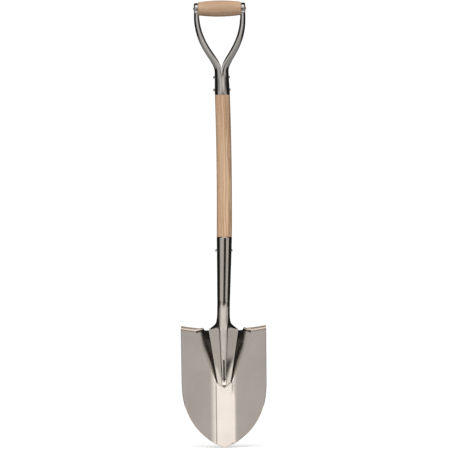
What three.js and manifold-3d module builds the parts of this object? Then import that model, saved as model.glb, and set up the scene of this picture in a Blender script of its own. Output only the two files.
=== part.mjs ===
// A garden spade: a pressed steel blade with turned treads, a tubular steel socket whose lower end
// opens into a shield-shaped strap on the blade's face, an ash shaft, and a split steel yoke that
// holds a turned ash grip on a steel rod.
//
// Millimetres. +Z runs up the shaft, the blade's tip is the lowest point, the blade's hollow face
// looks along -Y. The pieces are worked out about a straight centre line at X = 0, and the whole
// spade is then bowed a little to +X between the blade and the grip, as the ash shaft has bent.

import * as THREE from "three";
import { mergeVertices } from "three/addons/utils/BufferGeometryUtils.js";
import Module from "manifold-3d";

const wasm = await Module();
wasm.setup();

// ---- Driving dimensions -------------------------------------------------------------------------

const FIT_GAP = 0.3; // between two pieces that touch
const ROUND_SIDES = 24; // round a turned piece

// Blade: a sheet lifted forward from the shaft's line, measured along itself from its tip.
const BLADE_THICKNESS = 1.8;
const BLADE_LIFT = THREE.MathUtils.degToRad(20);
const BLADE_HALF_WIDTH = 94.2;
const BLADE_SIDE_LENGTH = 280;
const BLADE_SIDE_TAPER = 2.4; // how much narrower than the top the sides would be at the tip
const BLADE_TIP_HALF_WIDTH = 0.5;
const BLADE_TIP_Y = -63.5; // in front of the shaft's centre line
const BLADE_CURVE_LENGTH = 152.6; // from the tip to where the sides run straight
const BLADE_POINT_POWER = 2.83;
const BLADE_ROUND_POWER = 0.775;
const BLADE_DISH = 25; // how far the sides stand forward of the middle
const TREAD_TOP = 269.5; // along the blade, to the treads' upper faces
const TREAD_DEPTH = 14;
const TREAD_BEND = 3;
const TREAD_LEAST = 1.5; // how far the flange reaches past its bend where the bed's wall meets it

// Notch in the blade's top edge, which clears the socket.
const NOTCH_FLOOR_Z = 256;
const NOTCH_FLOOR_HALF_WIDTH = 42;
const NOTCH_MOUTH_HALF_WIDTH = 46;
const NOTCH_MOUTH_Z = 262;

// Strap: the socket's flattened lower end, a shield lying on a raised bed of the blade.
const SOCKET_THICKNESS = 1.8;
const STRAP_TILT = THREE.MathUtils.degToRad(6);
const STRAP_TOP_Z = 258;
const STRAP_TOP_Y = -6.7;
const STRAP_TOP_HALF_WIDTH = 32;
const STRAP_SHOULDER_Z = 140; // where the straight sides turn in to the point
const STRAP_SHOULDER_HALF_WIDTH = 13.3;
const STRAP_END_Z = 131;
const STRAP_END_HALF_WIDTH = 2;
const STRAP_POINT_POWER = 0.62;
const STRAP_TENT = 0.3; // how steeply its two flats fall away from the ridge, from full Z upwards
const TENT_FROM_Z = 135;
const TENT_FULL_Z = 200;
const PANEL_HEIGHT = 1.6; // of the flat panel down the middle of the blade, below the strap
const PANEL_HALF_WIDTH = 17;
const PANEL_STEP = 1.7; // how wide the step at its edges is
const PANEL_SOFT_SIDE = 5; // how much softer its right step is
const BED_FILLET = 2;
const BED_WALL_TOP = 28; // how wide the bed's side walls are at the strap's top
const BED_WALL_END = 1.7;

// Ridge down the middle of the strap, which carries the tube's shape on.
const RIDGE_TILT = THREE.MathUtils.degToRad(3.3);
const RIDGE_END_Z = 142;
const RIDGE_TOP_FLAT = 6.5; // half-widths of its crest and of its foot
const RIDGE_TOP_FOOT = 10;
const RIDGE_END_FLAT = 3;
const RIDGE_END_FOOT = 5;
const RIDGE_CROWN = 0.45;
const SLIT_WIDTH = 3.3;
const SLIT_BOTTOM_Z = 142;
const SLIT_TOP_Z = 191;

// Socket tube.
const TUBE_BOTTOM_Z = 300;
const OPENING_POWER = 2; // how quickly the strap's edges draw in to close the tube
const NECK_RADIUS = 14;
const NECK_BEND_Z = 313; // where the neck leans forward into the strap's ridge
const NECK_BEND_ROUND = 8;
const NECK_FLATNESS = 0.7; // 1 leaves the neck's front round
const NECK_ROUND_Z = 328; // where the neck's front is round again
const NECK_TOP_Z = 316;
const SOCKET_TOP_Z = 462;
const SOCKET_TOP_RADIUS = 16.9;
const SEAM_GAP = 0.8;

// Shaft.
const SHAFT_BOTTOM_Z = 322;
const SHAFT_TOP_Z = 823;
const SHAFT_RADIUS_LOW = 16.9;
const SHAFT_RADIUS_HIGH = 16.7;

// Yoke: two half-tubes that clasp the shaft and spread into channel-shaped legs.
const YOKE_THICKNESS = 1.6;
const YOKE_BOTTOM_Z = 776;
const YOKE_WAIST_Z = 825;
const YOKE_WAIST_RADIUS = 15.6;
const CROTCH_Z = 830;
const LEG_TOP_Z = 964;
const LEG_TOP_HALF_DEPTH = 10.5;
const LEG_WRAP = THREE.MathUtils.degToRad(148); // how far each leg's section closes on itself
const LEG_APART_Z = 850; // where the legs' inner edges have parted by their own thickness
const LEG_CLOSED_Z = 872;

// Grip, rod and the cups at the legs' ends.
const GRIP_Z = 967;
const GRIP_HALF_LENGTH = 47.4;
const GRIP_MIDDLE_RADIUS = 18;
const GRIP_END_RADIUS = 14.5;
const GRIP_TENON_RADIUS = 10;
const GRIP_TENON_LENGTH = 4.5;
const CUP_INNER_X = 47.8;
const CUP_OUTER_X = 57;
const CUP_RADIUS = 12.7;
const CUP_CORNER = 4;
const ROD_RADIUS = 2;
const ROD_HEAD_RADIUS = 3;
const ROD_HEAD_HEIGHT = 1.5;

// Rivets that cross the shaft along X. Their factory heads are on the left.
const RIVET_RADIUS = 2;
const RIVET_HEAD_RADIUS = 3.6;
const RIVET_HEAD_HEIGHT = 3.2;
const RIVET_TAIL_HEIGHT = 1.8;
const SOCKET_RIVET_Z = 432;
const YOKE_RIVET_LOW_Z = 787;
const YOKE_RIVET_HIGH_Z = 815;

// Sideways bow of the whole spade.
const BOW = 5.8;
const BOW_BOTTOM_Z = 272;
const BOW_TOP_Z = 945;
const BOW_POWER = 1.12;

// ---- Small helpers ------------------------------------------------------------------------------

const { lerp, clamp, smoothstep } = THREE.MathUtils;

// 0 below a corner and a straight rise above it, with the corner rounded over reach on each side.
function ramp(distance, reach) {
  if (distance <= -reach) return 0;
  if (distance >= reach) return distance;
  return (distance + reach) ** 2 / (4 * reach);
}

// Where value stands between low (0) and high (1), not clamped.
function share(value, low, high) {
  return (value - low) / (high - low);
}

// A three.js geometry as a manifold-3d solid.
function toSolid(geometry) {
  const bare = geometry.index ? geometry.toNonIndexed() : geometry.clone();
  bare.deleteAttribute("normal");
  bare.deleteAttribute("uv");
  const merged = mergeVertices(bare, 1e-4);
  return new wasm.Manifold(
    new wasm.Mesh({
      numProp: 3,
      vertProperties: merged.attributes.position.array,
      triVerts: new Uint32Array(merged.index.array),
    }),
  );
}

function toGeometry(solid) {
  const mesh = solid.getMesh();
  const geometry = new THREE.BufferGeometry();
  geometry.setAttribute("position", new THREE.BufferAttribute(mesh.vertProperties, 3));
  geometry.setIndex(new THREE.BufferAttribute(mesh.triVerts, 1));
  return geometry;
}

// A sheet of even thickness about surface(u, v), with u from -1 to 1 and v from 0 to 1.
function sheet(surface, thickness, columns, rows) {
  const step = 1e-3;
  const blank = new THREE.BoxGeometry(2, 1, 1, columns, rows, 1);
  const position = blank.attributes.position;
  for (let i = 0; i < position.count; i++) {
    const u = position.getX(i);
    const v = position.getY(i) + 0.5;
    const across = surface(Math.min(u + step, 1), v).sub(surface(Math.max(u - step, -1), v));
    const along = surface(u, Math.min(v + step, 1)).sub(surface(u, Math.max(v - step, 0)));
    const normal = across.cross(along).normalize();
    const place = surface(u, v).addScaledVector(normal, thickness * position.getZ(i));
    position.setXYZ(i, place.x, place.y, place.z);
  }
  return blank;
}

// A piece turned about X. Its outline is a list of [x, radius] that runs from left to right.
function turnedAboutX(outline, sides = ROUND_SIDES) {
  const profile = outline.map(([x, radius]) => new THREE.Vector2(radius, x));
  return new THREE.LatheGeometry(profile, sides).rotateZ(-Math.PI / 2);
}

// A piece turned about Z. Its outline is a list of [z, radius] that runs upwards.
function turnedAboutZ(outline, sides = ROUND_SIDES) {
  const profile = outline.map(([z, radius]) => new THREE.Vector2(radius, z));
  return new THREE.LatheGeometry(profile, sides).rotateX(Math.PI / 2);
}

function pinAlongX(radius, halfLength, z) {
  const outline = [[-halfLength, 0], [-halfLength, radius], [halfLength, radius], [halfLength, 0]];
  return turnedAboutX(outline, 16).translate(0, 0, z);
}

// ---- Blade --------------------------------------------------------------------------------------

// From the blade's own measures (across, along from the tip, out of its face) to the spade's frame.
function onBlade(x, along, out) {
  const y = BLADE_TIP_Y + along * Math.sin(BLADE_LIFT) - out * Math.cos(BLADE_LIFT);
  const z = along * Math.cos(BLADE_LIFT) + out * Math.sin(BLADE_LIFT);
  return new THREE.Vector3(x, y, z);
}

function bladeHalfWidth(along) {
  const fromShoulder = clamp(1 - along / BLADE_CURVE_LENGTH, 0, 1);
  const fullness = (1 - fromShoulder ** BLADE_POINT_POWER) ** BLADE_ROUND_POWER;
  const side = BLADE_HALF_WIDTH - BLADE_SIDE_TAPER * (1 - along / BLADE_SIDE_LENGTH);
  return lerp(BLADE_TIP_HALF_WIDTH, side, fullness);
}

function strapY(z) {
  return STRAP_TOP_Y + (z - STRAP_TOP_Z) * Math.tan(STRAP_TILT);
}

function strapHalfWidth(z) {
  if (z >= STRAP_SHOULDER_Z) {
    const up = share(z, STRAP_SHOULDER_Z, STRAP_TOP_Z);
    return lerp(STRAP_SHOULDER_HALF_WIDTH, STRAP_TOP_HALF_WIDTH, Math.min(up, 1));
  }
  const up = share(z, STRAP_END_Z, STRAP_SHOULDER_Z);
  return lerp(STRAP_END_HALF_WIDTH, STRAP_SHOULDER_HALF_WIDTH, up ** STRAP_POINT_POWER);
}

// Where along the blade the bed starts to rise, to lie just behind the strap, and how steeply.
function bedLine() {
  const behind = (BLADE_THICKNESS + SOCKET_THICKNESS) / 2 + FIT_GAP;
  const bedY = STRAP_TOP_Y + behind / Math.cos(STRAP_TILT) - BLADE_TIP_Y;
  const alongAtTop = bedY * Math.sin(BLADE_LIFT) + STRAP_TOP_Z * Math.cos(BLADE_LIFT);
  const heightAtTop = STRAP_TOP_Z * Math.sin(BLADE_LIFT) - bedY * Math.cos(BLADE_LIFT);
  const slope = Math.tan(BLADE_LIFT - STRAP_TILT);
  return { foot: alongAtTop - (heightAtTop - PANEL_HEIGHT) / slope, slope };
}

const bed = bedLine();

function bedHeight(along) {
  return PANEL_HEIGHT + bed.slope * ramp(along - bed.foot, BED_FILLET);
}

// The most of the blade's half-width that each zone's edge takes up, which matters near the tip.
const zoneLimits = [0, 0.5, 0.7, 0.8, 0.9, 1];

// Half-widths, at one place along the blade and on one side of it, of the bed's top, its wall's
// foot, the panel below the strap, the panel's step's foot and the blade.
function bladeZones(along, side) {
  const half = bladeHalfWidth(along);
  const z = along * Math.cos(BLADE_LIFT) + bedHeight(along) * Math.sin(BLADE_LIFT);
  const up = Math.max(share(z, STRAP_SHOULDER_Z, STRAP_TOP_Z), 0);
  const bedEdge = strapHalfWidth(Math.max(z, STRAP_END_Z)) + 0.5;
  const wall = bedEdge + lerp(BED_WALL_END, BED_WALL_TOP, up);
  const soft = side > 0 ? PANEL_SOFT_SIDE * (1 - smoothstep(z, STRAP_END_Z - 30, STRAP_END_Z)) : 0;
  const panel = Math.max(PANEL_HALF_WIDTH - soft / 2, wall + 0.5);
  const step = panel + PANEL_STEP + soft * 1.5;
  return [0, bedEdge, wall, panel, step, half].map((edge, i) => Math.min(edge, half * zoneLimits[i]));
}

function dishHeight(x) {
  return BLADE_DISH * (x / BLADE_HALF_WIDTH) ** 2;
}

function bladeHeight(x, along) {
  const [, bedEdge, wall, panel, step] = bladeZones(along, x);
  const size = Math.abs(x);
  const z = along * Math.cos(BLADE_LIFT);
  const ending = 1 - smoothstep(z, STRAP_END_Z, STRAP_END_Z + 25);
  const stepped = (1 - clamp(share(size, panel, step), 0, 1)) * ending;
  const base = lerp(dishHeight(x), PANEL_HEIGHT, stepped);
  return lerp(bedHeight(along), base, clamp(share(size, bedEdge, wall), 0, 1));
}

// Columns keep to the edges of the zones, which take up these shares of them.
const zoneShares = [0, 0.1, 0.4, 0.5, 0.6, 1];

function bladeX(u, along) {
  const zones = bladeZones(along, u);
  const size = Math.abs(u);
  const zone = Math.max(zoneShares.findLastIndex((end) => size >= end - 1e-6), 0);
  if (zone === zoneShares.length - 1) return Math.sign(u) * zones[zone];
  const part = share(size, zoneShares[zone], zoneShares[zone + 1]);
  return Math.sign(u) * lerp(zones[zone], zones[zone + 1], part);
}

function bladeSurface(u, v) {
  const bendFrom = TREAD_TOP - BLADE_THICKNESS / 2 - TREAD_BEND;
  const footAt = 0.44;
  const bendAt = 0.86;
  const flatAt = 0.96;
  const gather = 1.5; // rows gather at the tip
  const along =
    v < footAt
      ? bed.foot * (v / footAt) ** gather
      : lerp(bed.foot, bendFrom, Math.min(share(v, footAt, bendAt), 1));
  const x = bladeX(u, along);
  const base = bladeHeight(x, along);
  if (v <= bendAt) return onBlade(x, along, base);
  const angle = (clamp(share(v, bendAt, flatAt), 0, 1) * Math.PI) / 2;
  const reach = Math.max(dishHeight(x) + TREAD_DEPTH - TREAD_BEND - base, TREAD_LEAST);
  const forward = Math.max(share(v, flatAt, 1), 0) * reach;
  const out = base + TREAD_BEND * (1 - Math.cos(angle)) + forward;
  return onBlade(x, bendFrom + TREAD_BEND * Math.sin(angle), out);
}

function notchCutter() {
  const top = NOTCH_MOUTH_Z + 40;
  const depth = 200;
  const outline = new THREE.Shape();
  outline.moveTo(-NOTCH_FLOOR_HALF_WIDTH, NOTCH_FLOOR_Z);
  outline.lineTo(NOTCH_FLOOR_HALF_WIDTH, NOTCH_FLOOR_Z);
  outline.lineTo(NOTCH_MOUTH_HALF_WIDTH, NOTCH_MOUTH_Z);
  outline.lineTo(NOTCH_MOUTH_HALF_WIDTH, top);
  outline.lineTo(-NOTCH_MOUTH_HALF_WIDTH, top);
  outline.lineTo(-NOTCH_MOUTH_HALF_WIDTH, NOTCH_MOUTH_Z);
  const cutter = new THREE.ExtrudeGeometry(outline, { depth, bevelEnabled: false });
  return cutter.rotateX(Math.PI / 2).translate(0, depth / 2, 0);
}

function bladeGeometry() {
  const pressing = toSolid(sheet(bladeSurface, BLADE_THICKNESS, 40, 25));
  return toGeometry(pressing.subtract(toSolid(notchCutter())));
}

// ---- Socket -------------------------------------------------------------------------------------

function socketRadius(z) {
  return lerp(NECK_RADIUS, SOCKET_TOP_RADIUS, Math.max(share(z, NECK_TOP_Z, SOCKET_TOP_Z), 0));
}

function ridgeCrestY(z) {
  const topY = SOCKET_THICKNESS / 2 - NECK_RADIUS;
  return topY - ramp(NECK_BEND_Z - z, NECK_BEND_ROUND) * Math.tan(RIDGE_TILT);
}

function tubePoint(u, z) {
  const radius = socketRadius(z) - SOCKET_THICKNESS / 2;
  const angle = u * (Math.PI - SEAM_GAP / 2 / radius);
  const flatness = lerp(NECK_FLATNESS, 1, smoothstep(z, NECK_BEND_Z - NECK_BEND_ROUND, NECK_ROUND_Z));
  const power = Math.cos(angle) > 0 ? flatness : 1;
  const across = Math.sign(u) * Math.abs(Math.sin(angle)) ** power;
  const forward = Math.sign(Math.cos(angle)) * Math.abs(Math.cos(angle)) ** power;
  const lean = ridgeCrestY(z) + NECK_RADIUS - SOCKET_THICKNESS / 2;
  return new THREE.Vector3(radius * across, lean - radius * forward, z);
}

function strapPoint(u, z) {
  const half = strapHalfWidth(z);
  const size = Math.abs(u) * half;
  const up = share(z, RIDGE_END_Z, STRAP_TOP_Z);
  const flat = Math.max(lerp(RIDGE_END_FLAT, RIDGE_TOP_FLAT, up), 1);
  const foot = Math.max(lerp(RIDGE_END_FOOT, RIDGE_TOP_FOOT, up), 3);
  const slope = STRAP_TENT * clamp(share(z, TENT_FROM_Z, TENT_FULL_Z), 0, 1);
  const tentTop = slope * Math.max(half - foot, 0);
  const tent = Math.min(slope * (half - size), tentTop);
  const fade = smoothstep(z, STRAP_END_Z + 2, RIDGE_END_Z + 6);
  const height = strapY(z) - tentTop - ridgeCrestY(z);
  const crown = RIDGE_CROWN * Math.min(size / flat, 1) ** 2;
  const rise = (height - crown) * fade * (1 - smoothstep(size, flat, foot));
  return new THREE.Vector3(u * half, strapY(z) - tent - rise, z);
}

// Rows gather at the strap's point and where the tube opens.
function socketZ(v) {
  if (v < 0.15) return lerp(STRAP_END_Z, STRAP_SHOULDER_Z, (v / 0.15) ** 2);
  if (v < 0.45) return lerp(STRAP_SHOULDER_Z, STRAP_TOP_Z, share(v, 0.15, 0.45));
  if (v < 0.8) return lerp(STRAP_TOP_Z, TUBE_BOTTOM_Z, share(v, 0.45, 0.8));
  return lerp(TUBE_BOTTOM_Z, SOCKET_TOP_Z, share(v, 0.8, 1));
}

function socketSurface(u, v) {
  const z = socketZ(v);
  const opened = clamp(1 - share(z, STRAP_TOP_Z, TUBE_BOTTOM_Z), 0, 1) ** OPENING_POWER;
  return tubePoint(u, z).lerp(strapPoint(u, z), opened);
}

function slitCutter() {
  const height = SLIT_TOP_Z - SLIT_BOTTOM_Z;
  const cutter = new THREE.BoxGeometry(SLIT_WIDTH, 60, height);
  return cutter.translate(0, 0, SLIT_BOTTOM_Z + height / 2);
}

function socketGeometry() {
  return toGeometry(
    toSolid(sheet(socketSurface, SOCKET_THICKNESS, 32, 20))
      .subtract(toSolid(slitCutter()))
      .subtract(toSolid(pinAlongX(RIVET_RADIUS + FIT_GAP, 40, SOCKET_RIVET_Z))),
  );
}

// ---- Shaft --------------------------------------------------------------------------------------

function yokeRadius(z) {
  return lerp(SHAFT_RADIUS_HIGH, YOKE_WAIST_RADIUS, smoothstep(z, YOKE_BOTTOM_Z, YOKE_WAIST_Z));
}

// Evenly spaced points of an outline, so that the bow bends it smoothly.
function rings(low, high, count, radiusAt) {
  return Array.from({ length: count + 1 }, (_, i) => {
    const z = lerp(low, high, i / count);
    return [z, radiusAt(z)];
  });
}

function shaftGeometry() {
  const shoulderLow = SOCKET_TOP_Z + FIT_GAP;
  const shoulderHigh = YOKE_BOTTOM_Z - FIT_GAP;
  const inSocket = (z) => socketRadius(Math.min(z, SOCKET_TOP_Z)) - SOCKET_THICKNESS - FIT_GAP;
  const inYoke = (z) => yokeRadius(z) - YOKE_THICKNESS - FIT_GAP;
  const shoulderRadius = (z) =>
    lerp(SHAFT_RADIUS_LOW, SHAFT_RADIUS_HIGH, share(z, shoulderLow, shoulderHigh));
  const tenonMiddle = (YOKE_BOTTOM_Z + SHAFT_TOP_Z) / 2;
  const outline = [
    [SHAFT_BOTTOM_Z, 0],
    [SHAFT_BOTTOM_Z, inSocket(SHAFT_BOTTOM_Z) - 1.5],
    ...rings(SHAFT_BOTTOM_Z + 3, shoulderLow, 6, inSocket),
    ...rings(shoulderLow, shoulderHigh, 12, shoulderRadius),
    [shoulderHigh, inYoke(YOKE_BOTTOM_Z)],
    [tenonMiddle, inYoke(tenonMiddle)],
    [SHAFT_TOP_Z - 1.5, inYoke(SHAFT_TOP_Z)],
    [SHAFT_TOP_Z, inYoke(SHAFT_TOP_Z) - 1.5],
    [SHAFT_TOP_Z, 0],
  ];
  let shaft = toSolid(turnedAboutZ(outline));
  for (const z of [SOCKET_RIVET_Z, YOKE_RIVET_LOW_Z, YOKE_RIVET_HIGH_Z])
    shaft = shaft.subtract(toSolid(pinAlongX(RIVET_RADIUS + FIT_GAP, 40, z)));
  return toGeometry(shaft);
}

// ---- Yoke ---------------------------------------------------------------------------------------

// The leg's outer and inner edges as seen from the front, from the waist to under the cup.
const legOuterEdge = new THREE.CubicBezierCurve(
  new THREE.Vector2(YOKE_WAIST_RADIUS, YOKE_WAIST_Z),
  new THREE.Vector2(13, 855),
  new THREE.Vector2(63.2, 879),
  new THREE.Vector2(CUP_OUTER_X - 0.6, LEG_TOP_Z),
);
const legInnerEdge = new THREE.CubicBezierCurve(
  new THREE.Vector2(SEAM_GAP / 2, CROTCH_Z),
  new THREE.Vector2(-2.5, 860),
  new THREE.Vector2(46.9, 882),
  new THREE.Vector2(CUP_INNER_X - 2.5, LEG_TOP_Z),
);

// A curve's x at a height z, found by halving, since both edges only ever rise.
function edgeX(curve, z) {
  let low = 0;
  let high = 1;
  for (let i = 0; i < 30; i++) {
    const middle = (low + high) / 2;
    if (curve.getPoint(middle).y < z) low = middle;
    else high = middle;
  }
  return curve.getPoint(low).x;
}

// One horizontal section of a leg: a half-ring at the shaft that closes into a channel above it.
function legSurface(u, v) {
  const z = lerp(YOKE_BOTTOM_Z, LEG_TOP_Z, v);
  const wall = YOKE_THICKNESS / 2;
  const outer = (z < YOKE_WAIST_Z ? yokeRadius(z) : edgeX(legOuterEdge, z)) - wall;
  const edge = z < CROTCH_Z ? 0 : edgeX(legInnerEdge, z);
  const inner = Math.max(edge, SEAM_GAP / 2) + wall * smoothstep(z, CROTCH_Z, LEG_APART_Z);
  const halfDepth = lerp(yokeRadius(z), LEG_TOP_HALF_DEPTH, smoothstep(z, CROTCH_Z, LEG_TOP_Z)) - wall;
  const wrap = lerp(Math.PI / 2, LEG_WRAP, smoothstep(z, YOKE_RIVET_HIGH_Z, LEG_CLOSED_Z));
  const angle = -u * wrap;
  const across = share(Math.cos(angle), Math.cos(wrap), 1);
  return new THREE.Vector3(lerp(inner, outer, across), halfDepth * Math.sin(angle), z);
}

// The cup at a leg's end: a shallow pan that faces the grip, with a hole for the rod.
function cupGeometry() {
  const wall = YOKE_THICKNESS;
  const hole = ROD_RADIUS + FIT_GAP;
  const corner = (x, radius, size) =>
    [0, 1, 2, 3].map((i) => {
      const angle = (i / 3) * (Math.PI / 2);
      return [x + size * Math.sin(angle), radius + size * Math.cos(angle)];
    });
  const outside = corner(CUP_OUTER_X - CUP_CORNER, CUP_RADIUS - CUP_CORNER, CUP_CORNER);
  const inside = corner(CUP_OUTER_X - CUP_CORNER, CUP_RADIUS - CUP_CORNER, CUP_CORNER - wall);
  const outline = [
    [CUP_INNER_X, CUP_RADIUS],
    ...outside,
    [CUP_OUTER_X, hole],
    [CUP_OUTER_X - wall, hole],
    ...inside.reverse(),
    [CUP_INNER_X, CUP_RADIUS - wall],
    [CUP_INNER_X, CUP_RADIUS],
  ];
  return turnedAboutX(outline).translate(0, 0, GRIP_Z);
}

// What the leg's own sheet leaves free: the inside of the cup, and the grip's end beside it.
function gripRoom() {
  const besideCup = GRIP_END_RADIUS + 2 * FIT_GAP;
  const inCup = CUP_RADIUS - YOKE_THICKNESS / 2;
  const reach = CUP_OUTER_X - YOKE_THICKNESS / 2;
  const mouth = CUP_INNER_X + FIT_GAP;
  const outline = [
    [0, 0],
    [0, besideCup],
    [mouth, besideCup],
    [mouth, inCup],
    [reach, inCup],
    [reach, 0],
  ];
  return turnedAboutX(outline).translate(0, 0, GRIP_Z);
}

function legGeometry() {
  const channel = toSolid(sheet(legSurface, YOKE_THICKNESS, 16, 22));
  let leg = channel.subtract(toSolid(gripRoom())).add(toSolid(cupGeometry()));
  for (const z of [YOKE_RIVET_LOW_Z, YOKE_RIVET_HIGH_Z])
    leg = leg.subtract(toSolid(pinAlongX(RIVET_RADIUS + FIT_GAP, 40, z)));
  return toGeometry(leg);
}

// ---- Grip and rod -------------------------------------------------------------------------------

function gripGeometry() {
  const bore = ROD_RADIUS + FIT_GAP;
  const end = GRIP_HALF_LENGTH;
  const barrel = Array.from({ length: 11 }, (_, i) => {
    const x = lerp(-end, end, i / 10);
    return [x, lerp(GRIP_MIDDLE_RADIUS, GRIP_END_RADIUS, (x / end) ** 2)];
  });
  const outline = [
    [-end - GRIP_TENON_LENGTH, bore],
    [-end - GRIP_TENON_LENGTH, GRIP_TENON_RADIUS],
    [-end, GRIP_TENON_RADIUS],
    ...barrel,
    [end, GRIP_TENON_RADIUS],
    [end + GRIP_TENON_LENGTH, GRIP_TENON_RADIUS],
    [end + GRIP_TENON_LENGTH, bore],
    [-end - GRIP_TENON_LENGTH, bore],
  ];
  return turnedAboutX(outline);
}

// Half a dome's outline that rises from radius at x to the axis at x + height.
function dome(x, radius, height) {
  return [0, 1, 2, 3, 4].map((i) => {
    const angle = (i / 4) * (Math.PI / 2);
    return [x + height * Math.sin(angle), radius * Math.cos(angle)];
  });
}

function mirrored(outline) {
  return outline.map(([x, radius]) => [-x, radius]).reverse();
}

// A headed pin along X: shank, a head on the left and a head on the right.
function headedPin(halfSpan, radius, headRadius, leftHeight, rightHeight) {
  return turnedAboutX([
    ...mirrored(dome(halfSpan, headRadius, leftHeight)),
    [-halfSpan, radius],
    [halfSpan, radius],
    ...dome(halfSpan, headRadius, rightHeight),
  ], 16);
}

function rivetGeometry(tubeRadius) {
  const span = tubeRadius + FIT_GAP;
  return headedPin(span, RIVET_RADIUS, RIVET_HEAD_RADIUS, RIVET_HEAD_HEIGHT, RIVET_TAIL_HEIGHT);
}

function rodGeometry() {
  const span = CUP_OUTER_X + FIT_GAP;
  return headedPin(span, ROD_RADIUS, ROD_HEAD_RADIUS, ROD_HEAD_HEIGHT, ROD_HEAD_HEIGHT);
}

// ---- Assembly -----------------------------------------------------------------------------------

const polishedSteel = { color: 0xc4c0bc, metalness: 1, roughness: 0.12 };
const rivetSteel = { color: 0xb0aeab, metalness: 1, roughness: 0.25 };
const oiledAsh = { color: 0xcfa57c, metalness: 0, roughness: 0.55 };

function piece(name, geometry, finish) {
  const mesh = new THREE.Mesh(geometry, new THREE.MeshStandardMaterial(finish));
  mesh.name = name;
  return mesh;
}

function rivet(name, tubeRadius, z) {
  const made = piece(name, rivetGeometry(tubeRadius), rivetSteel);
  made.position.z = z;
  return made;
}

function head() {
  return new THREE.Group().add(
    piece("blade", bladeGeometry(), polishedSteel),
    piece("socket", socketGeometry(), polishedSteel),
    rivet("socket_rivet", socketRadius(SOCKET_RIVET_Z), SOCKET_RIVET_Z),
  );
}

function yoke() {
  const rightLeg = piece("yoke_leg_right", legGeometry(), polishedSteel);
  const leftLeg = piece("yoke_leg_left", legGeometry(), polishedSteel);
  leftLeg.rotation.z = Math.PI;
  return new THREE.Group().add(
    leftLeg,
    rightLeg,
    rivet("yoke_rivet_lower", yokeRadius(YOKE_RIVET_LOW_Z), YOKE_RIVET_LOW_Z),
    rivet("yoke_rivet_upper", yokeRadius(YOKE_RIVET_HIGH_Z), YOKE_RIVET_HIGH_Z),
  );
}

function handle() {
  const grip = piece("grip", gripGeometry(), oiledAsh);
  const rod = piece("grip_rod", rodGeometry(), rivetSteel);
  grip.position.z = GRIP_Z;
  rod.position.z = GRIP_Z;
  return new THREE.Group().add(grip, rod);
}

const spade = new THREE.Group().add(
  head(),
  piece("shaft", shaftGeometry(), oiledAsh),
  yoke(),
  handle(),
);

function bow(z) {
  const t = clamp(share(z, BOW_BOTTOM_Z, BOW_TOP_Z), 0, 1);
  return BOW * Math.sin(Math.PI * t) ** BOW_POWER;
}

// The same pieces with the bow put in and their placings worked into their geometry.
function bowed(straight) {
  const bent = new THREE.Group();
  straight.updateMatrixWorld(true);
  straight.traverse((part) => {
    if (!part.isMesh) return;
    const geometry = part.geometry.clone().applyMatrix4(part.matrixWorld);
    const position = geometry.attributes.position;
    for (let i = 0; i < position.count; i++)
      position.setX(i, position.getX(i) + bow(position.getZ(i)));
    const mesh = new THREE.Mesh(geometry, part.material);
    mesh.name = part.name;
    bent.add(mesh);
  });
  return bent;
}

// The origin goes under the middle of the spade's depth, level with its lowest point.
const bentSpade = bowed(spade);
const extent = new THREE.Box3().setFromObject(bentSpade);
bentSpade.position.x = -(extent.min.x + extent.max.x) / 2;
bentSpade.position.y = -(extent.min.y + extent.max.y) / 2;
bentSpade.position.z = -extent.min.z;

export default bentSpade;
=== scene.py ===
"""A garden spade: the fine surfaces, the finishes, the studio and the camera.

Shapes are worked out in millimetres about the shaft's centre line, with the blade's tip at z = 0 and
the blade's hollow face towards -Y, and are put in the frame by placed(). Each fine piece stands for
the CAD node of the same name and follows the same outlines and sections.
"""

import math

import bmesh
import bpy
import numpy as np
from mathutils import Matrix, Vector


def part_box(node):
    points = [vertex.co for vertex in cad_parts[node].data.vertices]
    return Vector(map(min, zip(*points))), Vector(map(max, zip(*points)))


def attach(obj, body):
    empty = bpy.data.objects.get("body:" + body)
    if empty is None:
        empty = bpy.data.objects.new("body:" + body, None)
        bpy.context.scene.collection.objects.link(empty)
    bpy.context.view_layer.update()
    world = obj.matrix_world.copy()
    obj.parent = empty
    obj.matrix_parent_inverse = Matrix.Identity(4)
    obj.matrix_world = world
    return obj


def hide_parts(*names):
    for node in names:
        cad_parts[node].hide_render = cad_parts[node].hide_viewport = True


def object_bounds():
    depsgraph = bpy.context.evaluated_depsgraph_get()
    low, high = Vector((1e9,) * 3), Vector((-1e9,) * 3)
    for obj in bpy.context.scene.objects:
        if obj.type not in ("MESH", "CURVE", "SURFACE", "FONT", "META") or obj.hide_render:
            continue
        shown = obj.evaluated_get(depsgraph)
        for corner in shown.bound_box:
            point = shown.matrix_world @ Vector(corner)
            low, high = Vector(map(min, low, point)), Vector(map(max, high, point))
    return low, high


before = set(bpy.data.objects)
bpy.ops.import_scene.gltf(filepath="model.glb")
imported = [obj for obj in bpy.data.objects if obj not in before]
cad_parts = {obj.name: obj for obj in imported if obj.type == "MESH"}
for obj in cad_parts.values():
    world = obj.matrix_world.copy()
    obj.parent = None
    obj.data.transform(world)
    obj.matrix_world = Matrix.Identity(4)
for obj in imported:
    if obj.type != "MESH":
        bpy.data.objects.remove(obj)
CAD_LOW, CAD_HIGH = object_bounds()

# ---- Dimensions, in millimetres -----------------------------------------------------------------

MM = 0.001
BOW = 5.8
BOW_BOTTOM_Z = 272
BOW_TOP_Z = 945
BOW_POWER = 1.12
FIT_GAP = 0.3

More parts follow.
